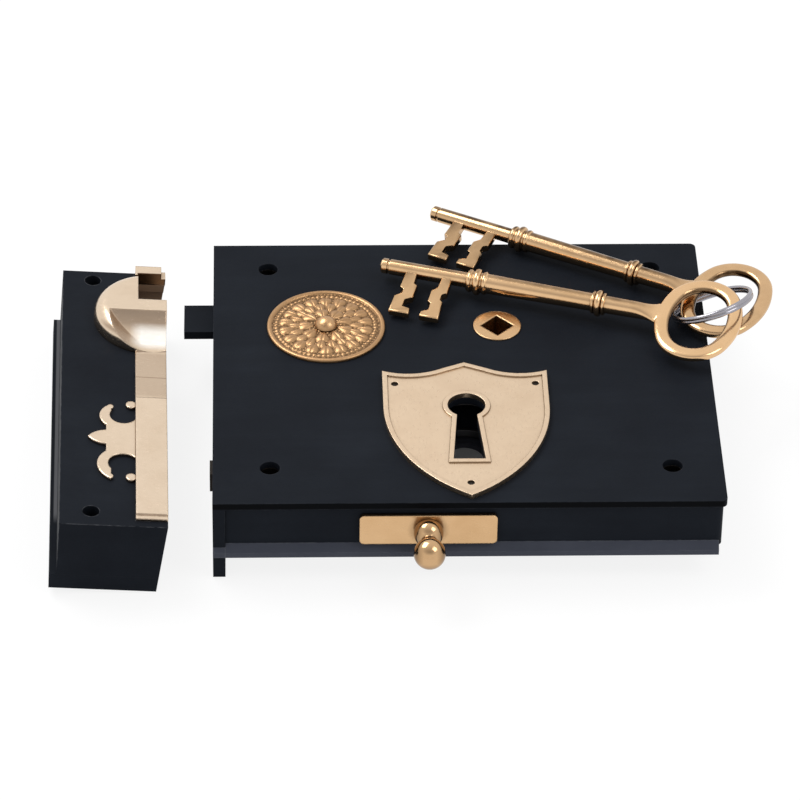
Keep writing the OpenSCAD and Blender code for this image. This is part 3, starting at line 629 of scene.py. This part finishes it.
# Rings of the shank: close together at the tip and round the collars, and every 15th step elsewhere
FINE_STEP = 0.1
COARSE_STEPS = 15
FINE_TIP, FINE_COLLAR = 5.0, 6.0
KEY_SHARP = 40
# Share of painted shade on the shank's upper back and inside the bow, and of tarnish on the bit
BACK_SHADE, BIT_TARNISH, BOW_SHADE = 0.75, 0.22, 0.95
BACK_ANGLE = math.radians(70)
UPPER_BACK = Vector((0, math.cos(BACK_ANGLE), math.sin(BACK_ANGLE)))
# How closely a face looks that way, or to the bow's middle, where its painted shade starts and is full
BACK_FACING, INWARD_FACING = (0.75, 0.95), (0.2, 0.5)
# Stretch along or across the key over which the bit's tarnish and the bow's painted shade set in
TARNISH_SOFT = 1


def shank_radius(x):
    """Radius of the turned shank at a distance from its tip."""
    sleeve = COLLARS[0][0]
    if TIP_L < x < TIP_L + GROOVE_W:
        radius = SHANK_R["groove"]
    elif x < sleeve - SLEEVE_L / 2:
        radius = SHANK_R["bit"]
    else:
        taper = max(0.0, (x - sleeve) / (NECK_X - sleeve))
        radius = SHANK_R["sleeve"] + (SHANK_R["neck"] - SHANK_R["sleeve"]) * taper
    for place, middle, side, step, away in COLLARS:
        low_top = COLLAR_R - step
        beads = ((place, middle, COLLAR_R), (place - away, side, low_top), (place + away, side, low_top))
        for centre, width, top in beads:
            if abs(x - centre) < width / 2:
                radius = max(radius, top - width / 2 * (1 - mound((x - centre) * 2 / width)))
    return radius - max(0.0, TIP_CHAMFER - x)


def shank_sizes():
    """Place, half width and half thickness of each ring, from the tip to the flare into the bow."""
    start = NECK_X - FLARE_L
    fine = [(0.0, FINE_TIP)] + [(place - FINE_COLLAR, place + FINE_COLLAR) for place, *_ in COLLARS]
    sizes = []
    for i in range(round(start / FINE_STEP)):
        x = FINE_STEP * i
        if i % COARSE_STEPS == 0 or any(a <= x <= b for a, b in fine):
            sizes.append((x, shank_radius(x), shank_radius(x)))
    neck = shank_radius(start)
    for i in range(FLARE_STEPS + 1):
        t = i / FLARE_STEPS
        ease = t * t * (3 - 2 * t)
        half_width = neck + (FLARE_HALF - neck) * t ** 3
        half_thick = neck + (FLARE_T / 2 - neck) * ease
        sizes.append((start + t * (FLARE_L + BOW_BAR / 2), half_width, half_thick))
    return sizes


def shank_rings(sides=36):
    """Rings of points round the shank."""
    circle = [(math.cos(2 * math.pi * j / sides), math.sin(2 * math.pi * j / sides)) for j in range(sides)]
    return [[(x, half_y * cos, half_z * sin) for cos, sin in circle] for x, half_y, half_z in shank_sizes()]


def bow_rings(turns=144, sides=24):
    """Rings of the bow's bar along an oval of four arcs."""
    end_r = BOW_A - BOW_END - BOW_BAR / 2
    end_y = BOW_B - BOW_A + BOW_END
    flank_x = (end_y ** 2 - BOW_END ** 2) / (2 * BOW_END)
    flank_r = BOW_A - BOW_BAR / 2 + flank_x
    meet = math.atan2(end_y, flank_x)
    rings = []
    for i in range(turns):
        turn = 2 * math.pi * i / turns
        nx, ny = math.cos(turn), math.sin(turn)
        if abs(ny) < math.sin(meet):
            centre, radius = (-math.copysign(flank_x, nx), 0.0), flank_r
        else:
            centre, radius = (0.0, math.copysign(end_y, ny)), end_r
        ring = []
        for j in range(sides):
            out, z = rounded_square(2 * math.pi * j / sides, BOW_BAR / 2, BOW_T / 2, BOW_FULLNESS)
            ring.append((KEY_L + centre[0] + (radius + out) * nx, centre[1] + (radius + out) * ny, z))
        rings.append(ring)
    return rings


def bit_finger(bm, place, outline):
    """One finger of the bit as a plate with softened edges."""
    base = [bm.verts.new((place + x, y, -BIT_T / 2)) for x, y in outline]
    top = [bm.verts.new((place + x, y, BIT_T / 2)) for x, y in outline]
    count = len(outline)
    faces = [bm.faces.new(base), bm.faces.new(top[::-1])]
    for i in range(count):
        k = (i + 1) % count
        faces.append(bm.faces.new((base[k], base[i], top[i], top[k])))
    edges = {edge for face in faces for edge in face.edges}
    bmesh.ops.bevel(bm, geom=list(edges), offset=BIT_BEVEL, segments=1, affect="EDGES")


def share(value, start, stop):
    """How far a value has come from start to stop, held between 0 and 1."""
    return min(1.0, max(0.0, (value - start) / (stop - start)))


def tarnish(vert, dull):
    """Share of tarnish and painted shade at a point of a key: painted shade most inside the bow, then on
    the upper back, and tarnish on the bit.
    """
    on_shank = share(vert.co.x, NECK_X, NECK_X - FLARE_L)
    back = BACK_SHADE * on_shank * share(vert.normal.dot(UPPER_BACK), *BACK_FACING)
    bit = BIT_TARNISH * on_shank * share(vert.co.y, -COLLAR_R, -COLLAR_R - TARNISH_SOFT)
    inward = vert.normal.dot((BOW_MIDDLE - vert.co).normalized())
    bow = BOW_SHADE * share(vert.co.x, NECK_X - TARNISH_SOFT, NECK_X) * share(inward, *INWARD_FACING)
    return dull + max(back, bit, bow)


def key(name, tip, turn, dull):
    """A key with a turned shank, a bit of two fingers and a round-edged bow, in the place of its solid."""
    bm = bmesh.new()
    skin(bm, shank_rings(), False)
    skin(bm, bow_rings(), True)
    for place, outline in BITS.items():
        bit_finger(bm, place, outline)
    bmesh.ops.recalc_face_normals(bm, faces=bm.faces)
    bm.normal_update()
    # Tarnish and painted shade, kept in each point
    layer = bm.verts.layers.float.new("tarnish")
    for vert in bm.verts:
        vert[layer] = tarnish(vert, dull)
    turned = Euler([math.radians(angle) for angle in turn], "XYZ").to_matrix().to_4x4()
    pose = Matrix.Translation(tip) @ turned
    bmesh.ops.transform(bm, matrix=Matrix.Scale(MM, 4) @ pose, verts=bm.verts)
    mesh = take_mesh(bm, name)
    smooth(mesh, KEY_SHARP)
    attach(add_piece("turned_" + name, mesh, "key_brass", name), "keys")


key("front_key", tip=(-26.4, 49.6, 26.1), turn=(7.93, -1.27, -18.9), dull=0.0)
key("back_key", tip=(-8.2, 81.0, 25.55), turn=(5.33, -0.4, -28.6), dull=0.24)


# Rose, in millimetres

ROSE_HOLE_R = 2.0
ROSE_RINGS, ROSE_TURNS = 96, 360
ROSE_SHARP = 70
RIM_W = 1.7
# Levels as shares of the rose's rise: foot and crown of the rim, then edge and slope of the ground
RIM_FOOT, RIM_CROWN = 0.6, 0.4
GROUND_EDGE, GROUND_SLOPE = 0.4, 0.4
STIPPLE_PITCH, STIPPLE_H = 1.15, 0.2
# How many radii of a stippled dot fit into the pitch
DOT_RADII = 2.2
BEADS, BEAD_AT, BEAD_HALF, BEAD_H = 64, 16.6, 0.7, 0.4
# Rings of leaves, sprigs and petals: count, middle, half length, turn in pitches and height
LEAF_RINGS = ((18, 13.4, 2.5, 0.0, 0.75), (18, 10.2, 2.4, 0.5, 0.65), (9, 6.6, 2.8, 0.0, 0.8))
# A leaf narrows from its outer end to its inner one
LEAF_NARROW, LEAF_TAPER = 1.15, 0.3
VEIN_DEPTH, VEIN_HALF = 0.3, 0.12
# Relief at which the ground is clean, and the share of dirt on the lowest ground
CLEAN_H = 0.45
GROUND_DIRT = 0.75


def pitch_place(angle, count, turn=0.0):
    """Place across one of the equal pitches round a circle, from -1 to 1."""
    return ((angle / (2 * math.pi) * count + turn) % 1.0) * 2 - 1


def leaf_ring(radius, angle, count, middle, half, turn):
    """Ring of rounded leaves, each with a vein along its middle."""
    across = pitch_place(angle, count, turn)
    along = (radius - middle) / half
    body = mound(min(1.0, math.hypot(across * (LEAF_NARROW - LEAF_TAPER * along), along)))
    vein = VEIN_DEPTH * math.exp(-((across / VEIN_HALF) ** 2)) * body
    return body - vein


def stipple(x, y):
    """Punched ground: small mounds in staggered rows."""
    across, up = x / STIPPLE_PITCH, y / STIPPLE_PITCH
    row = math.floor(up)
    away = math.hypot((across + 0.5 * (row % 2)) % 1.0 - 0.5, up - row - 0.5)
    return mound(min(1.0, away * DOT_RADII))


def rose_relief(radius, angle):
    """Height of the rosette's ornament over its ground."""
    ground = STIPPLE_H * stipple(radius * math.cos(angle), radius * math.sin(angle))
    bead = math.hypot((radius - BEAD_AT) / BEAD_HALF, pitch_place(angle, BEADS))
    leaves = [height * leaf_ring(radius, angle, *ring) for *ring, height in LEAF_RINGS]
    return max(ground, BEAD_H * mound(min(1.0, bead)), *leaves)


def rose_height(radius, angle, outer, rise):
    """Height of the rosette over the plate and how deep its ground lies, from 0 to 1."""
    if radius > outer - RIM_W:
        return rise * (RIM_FOOT + RIM_CROWN * mound((outer - radius) / RIM_W * 2 - 1)), 0.0
    relief = rose_relief(radius, angle)
    slope = (outer - radius) / outer
    return rise * (GROUND_EDGE + GROUND_SLOPE * slope) + relief, max(0.0, 1.0 - relief / CLEAN_H)


def rose():
    """Plain rosette in the outline of the rose: rim, beads, leaves and petals round the dome."""
    low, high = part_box("rose")
    centre = (low + high) / 2
    outer = (high.x - low.x) / 2 / MM
    rise = (high.z - low.z) / MM
    span = outer - ROSE_HOLE_R
    radii = [ROSE_HOLE_R + span * i / ROSE_RINGS for i in range(ROSE_RINGS + 1)]
    # The first and the last ring lie on the plate, under the edges of the rosette
    profile = [(ROSE_HOLE_R, True), *((radius, False) for radius in radii), (outer, True)]
    verts, faces, depths = [], [], []
    for radius, on_plate in profile:
        for j in range(ROSE_TURNS):
            angle = 2 * math.pi * j / ROSE_TURNS
            height, depth = (0.0, 0.0) if on_plate else rose_height(radius, angle, outer, rise)
            x, y = radius * math.cos(angle) * MM, radius * math.sin(angle) * MM
            verts.append((centre.x + x, centre.y + y, low.z + height * MM))
            depths.append(GROUND_DIRT * depth)
    count = len(profile)
    for i in range(count):
        a, b = i * ROSE_TURNS, (i + 1) % count * ROSE_TURNS
        for j in range(ROSE_TURNS):
            k = (j + 1) % ROSE_TURNS
            faces.append((a + j, b + j, b + k, a + k))
    mesh = bpy.data.meshes.new("rosette")
    mesh.from_pydata(verts, [], faces)
    mesh.attributes.new("depth", "FLOAT", "POINT").data.foreach_set("value", depths)
    smooth(mesh, ROSE_SHARP)
    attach(add_piece("rosette", mesh, "rosette_brass", "rose"), "case")


rose()


# Camera, fitted to the photo: place in metres, angles in degrees and focal length in pixels of its frame

CAMERA_AT = (-0.0692, -1.27448, 0.98359)
AZIMUTH, ELEVATION, ROLL = -2.148, 37.455, 0.977
FOCAL_PX, FRAME_PX = 4821.8, 800
SENSOR_W = 36
CLIP_END = 20


def camera():
    """The photo's camera, rolled a little about its own axis."""
    azimuth, elevation, roll = (math.radians(angle) for angle in (AZIMUTH, ELEVATION, ROLL))
    level = math.cos(elevation)
    back = Vector((math.sin(azimuth) * level, -math.cos(azimuth) * level, math.sin(elevation)))
    right = Vector((math.cos(azimuth), math.sin(azimuth), 0))
    up = back.cross(right)
    axis_x = right * math.cos(roll) + up * math.sin(roll)
    axis_y = up * math.cos(roll) - right * math.sin(roll)
    data = bpy.data.cameras.new("camera")
    data.sensor_width = SENSOR_W
    data.lens = SENSOR_W * FOCAL_PX / FRAME_PX
    data.clip_end = CLIP_END
    obj = bpy.data.objects.new("camera", data)
    scene.collection.objects.link(obj)
    turn = Matrix((axis_x, axis_y, back)).transposed().to_4x4()
    obj.matrix_world = Matrix.Translation(CAMERA_AT) @ turn
    scene.camera = obj


camera()


# Floor, world and lamps, in metres

FLOOR_HALF = 6
FLOOR_DROP = 0.2 * MM
# Share of white that the floor shows, and how much of it is lost under the case and the keep
FLOOR_WHITE, FLOOR_SHUT = 0.85, 0.975
FLOOR_GREY, FLOOR_ROUGH = (0.86, 0.86, 0.86), 0.9
DIM_FRONT = (0.42, 0.42, 0.44)
# Where the sky passes from its dim front to its white back along Y, and from high to low along Z
FRONT_TO_BACK = (-0.76, 0.24)
HIGH_TO_LOW = (0.75, 0.45)


def open_floor(g):
    """Near 0 on the floor under the case and the keep, where no light gets in, and 1 elsewhere."""
    shut = g.most(behind_cap(g), under_keep(g))
    return g.math("SUBTRACT", 1.0, g.times(shut, FLOOR_SHUT))


def floor():
    """Pale floor that shows near white to the camera and in reflections and keeps a faint shadow."""
    mesh = bpy.data.meshes.new("floor")
    corners = [(x * FLOOR_HALF, y * FLOOR_HALF, 0) for x, y in ((-1, -1), (1, -1), (1, 1), (-1, 1))]
    mesh.from_pydata(corners, [], [(0, 1, 2, 3)])
    obj = bpy.data.objects.new("floor", mesh)
    obj.location.z = cad_box[0].z - FLOOR_DROP
    scene.collection.objects.link(obj)
    g = Surface("floor")
    g.feed(g.shader, {"Base Color": FLOOR_GREY, "Roughness": FLOOR_ROUGH})
    rays = g.add("ShaderNodeLightPath").outputs
    seen = g.most(rays["Is Camera Ray"], rays["Is Glossy Ray"], rays["Is Transmission Ray"])
    white = g.add("ShaderNodeEmission", {"Strength": 1.0}).outputs["Emission"]
    share_white = g.times(seen, FLOOR_WHITE, open_floor(g))
    mix = g.add("ShaderNodeMixShader", {"Fac": share_white, 1: g.shader.outputs["BSDF"], 2: white})
    g.feed(g.tree.nodes["Material Output"], {"Surface": mix.outputs["Shader"]})
    mesh.materials.append(g.material)


def world():
    """White to the camera; the object sees a white sky that is dimmer high in front."""
    studio = bpy.data.worlds.new("studio")
    scene.world = studio
    studio.use_nodes = True
    g = Graph(studio.node_tree)
    toward = g.split(g.add("ShaderNodeTexCoord").outputs["Generated"])
    sky = g.blend(g.remap(toward["Y"], *FRONT_TO_BACK), DIM_FRONT, WHITE)
    sky = g.blend(g.remap(toward["Z"], *HIGH_TO_LOW), sky, WHITE)
    seen = g.add("ShaderNodeLightPath").outputs["Is Camera Ray"]
    g.feed(g.tree.nodes["Background"], {"Color": g.blend(seen, sky, WHITE), "Strength": 1.0})


def lamp(name, place, size, power):
    """A soft rectangular lamp that shines on the middle of the lock."""
    data = bpy.data.lights.new(name, "AREA")
    data.shape = "RECTANGLE"
    data.size, data.size_y = size
    data.energy = power
    obj = bpy.data.objects.new(name, data)
    obj.location = place
    obj.rotation_euler = (-Vector(place)).to_track_quat("-Z", "Y").to_euler()
    scene.collection.objects.link(obj)


floor()
world()
lamp("key_light", place=(-0.5, 0.35, 0.9), size=(0.7, 0.5), power=7)
lamp("fill_light", place=(0.6, -0.3, 0.9), size=(0.5, 0.5), power=2.5)
